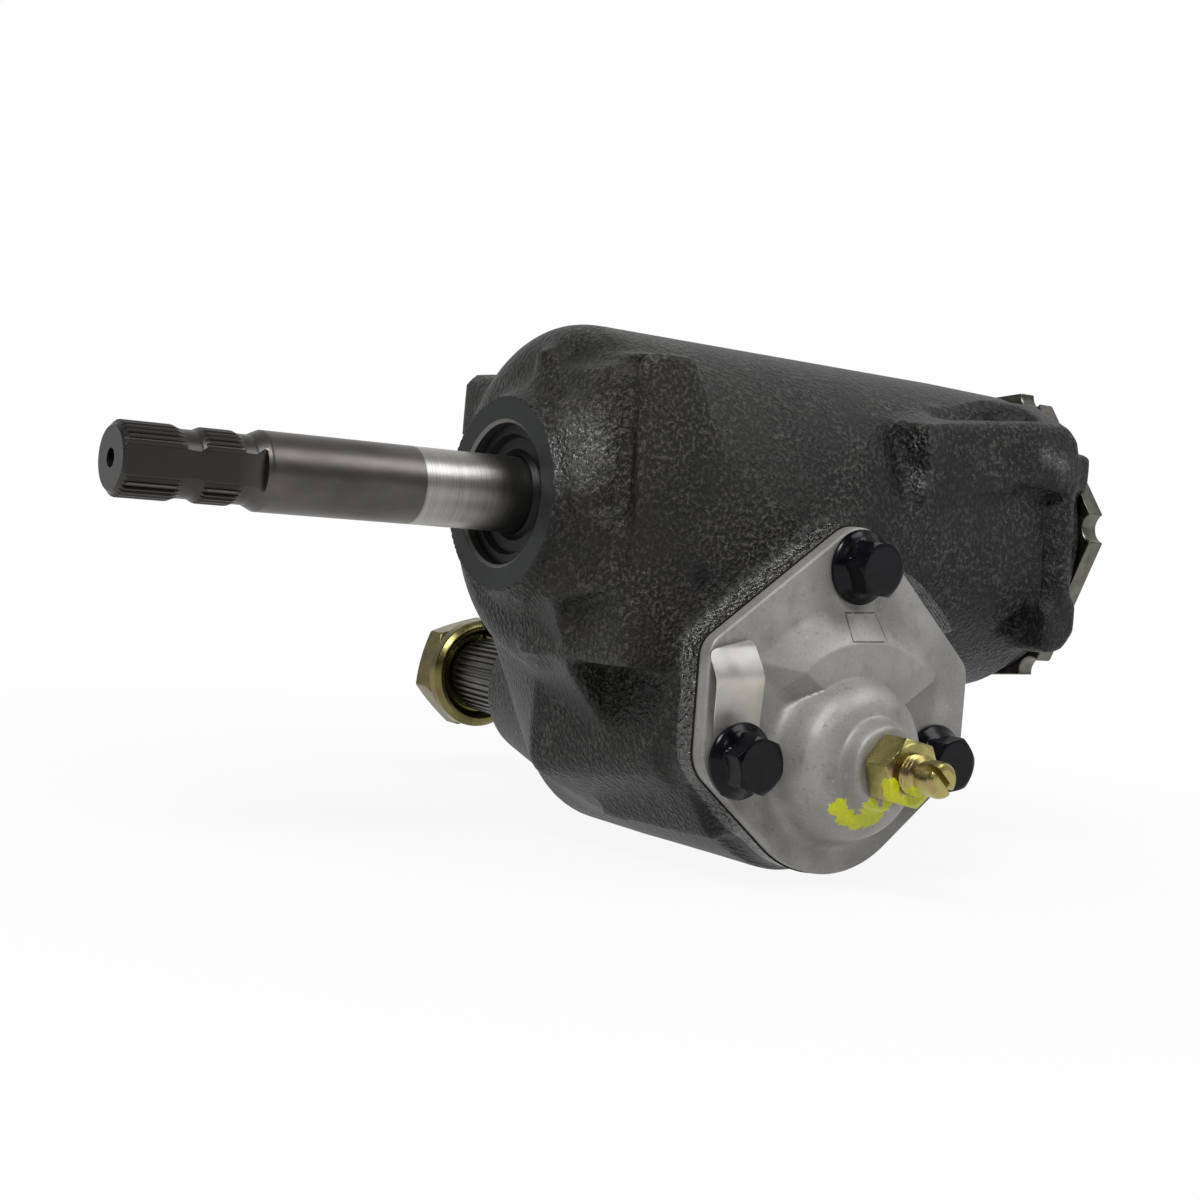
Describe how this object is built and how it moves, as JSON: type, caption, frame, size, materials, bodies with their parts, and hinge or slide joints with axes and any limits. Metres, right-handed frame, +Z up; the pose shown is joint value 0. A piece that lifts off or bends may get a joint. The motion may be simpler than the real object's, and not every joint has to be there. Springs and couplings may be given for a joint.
{
  "type": "steering gearbox",
  "caption": "Manual recirculating-ball steering gearbox with a splined input shaft, bolted side cover and a splined sector shaft at the back.",
  "frame": {"origin": "midway between the two upper frame bolt holes on the mounting face", "axes": "+X along the worm away from the steering column, +Y out of the mounting face, +Z up"},
  "size_m": [0.3037, 0.2442, 0.1479],
  "materials": {
    "cast_housing": "bare casting",
    "cast_cover": "die cast satin",
    "gasket_paper": "matte",
    "tag_metal": "bright",
    "black_steel": "black oxide",
    "zinc_steel": "yellow zinc",
    "bright_steel": "ground",
    "dark_steel": "turned",
    "bushing_bronze": "machined",
    "seal_rubber": "matte",
    "stamped_steel": "stamped"
  },
  "bodies": {
    "case": {"housing": "cast_housing", "side_cover": "cast_cover", "cover_gasket": "gasket_paper", "id_tag": "tag_metal", "cover_bolts": "black_steel", "lash_adjuster_screw": "zinc_steel", "lash_shim": "bright_steel", "lash_adjuster_nut": "zinc_steel", "sector_bushings": "bushing_bronze", "cover_bushing": "bushing_bronze", "sector_seal": "seal_rubber", "input_bearing_cup": "bright_steel", "end_bearing_cup": "bright_steel", "bearing_adjuster": "dark_steel", "bearing_adjuster_nut": "stamped_steel", "input_seal": "seal_rubber"},
    "worm": {"worm_shaft": "bright_steel"},
    "input_balls": {"input_ball_row": "bright_steel"},
    "end_balls": {"end_ball_row": "bright_steel"},
    "nut": {"ball_nut": "dark_steel", "ball_return_guides": "bright_steel", "guide_clamp": "bright_steel", "guide_clamp_screws": "black_steel"},
    "sector": {"sector_shaft": "dark_steel", "pitman_nut": "zinc_steel", "pitman_lock_washer": "zinc_steel"}
  },
  "joints": [
    {"name": "steering_input", "type": "hinge", "parent": "case", "child": "worm", "pos_m": [0, -0.05, -0.024], "axis": [1, 0, 0], "range_deg": [-864, 864]},
    {"name": "nut_travel", "type": "slide", "parent": "case", "child": "nut", "axis": [1, 0, 0], "range_m": [-0.024, 0.024]},
    {"name": "sector_turn", "type": "hinge", "parent": "case", "child": "sector", "pos_m": [-0.0175, 0, -0.087], "axis": [0, 1, 0], "range_deg": [-36, 36]},
    {"name": "input_ball_orbit", "type": "hinge", "parent": "case", "child": "input_balls", "pos_m": [-0.0795, -0.05, -0.024], "axis": [1, 0, 0], "range_deg": [-380.16, 380.16]},
    {"name": "end_ball_orbit", "type": "hinge", "parent": "case", "child": "end_balls", "pos_m": [0.0425, -0.05, -0.024], "axis": [1, 0, 0], "range_deg": [-380.16, 380.16]}
  ],
  "couplings": [
    {"joint": "nut_travel", "follows": "steering_input", "m_per_rad": -0.0015915},
    {"joint": "sector_turn", "follows": "steering_input", "ratio": -0.041667},
    {"joint": "input_ball_orbit", "follows": "steering_input", "ratio": 0.44},
    {"joint": "end_ball_orbit", "follows": "steering_input", "ratio": 0.44}
  ]
}
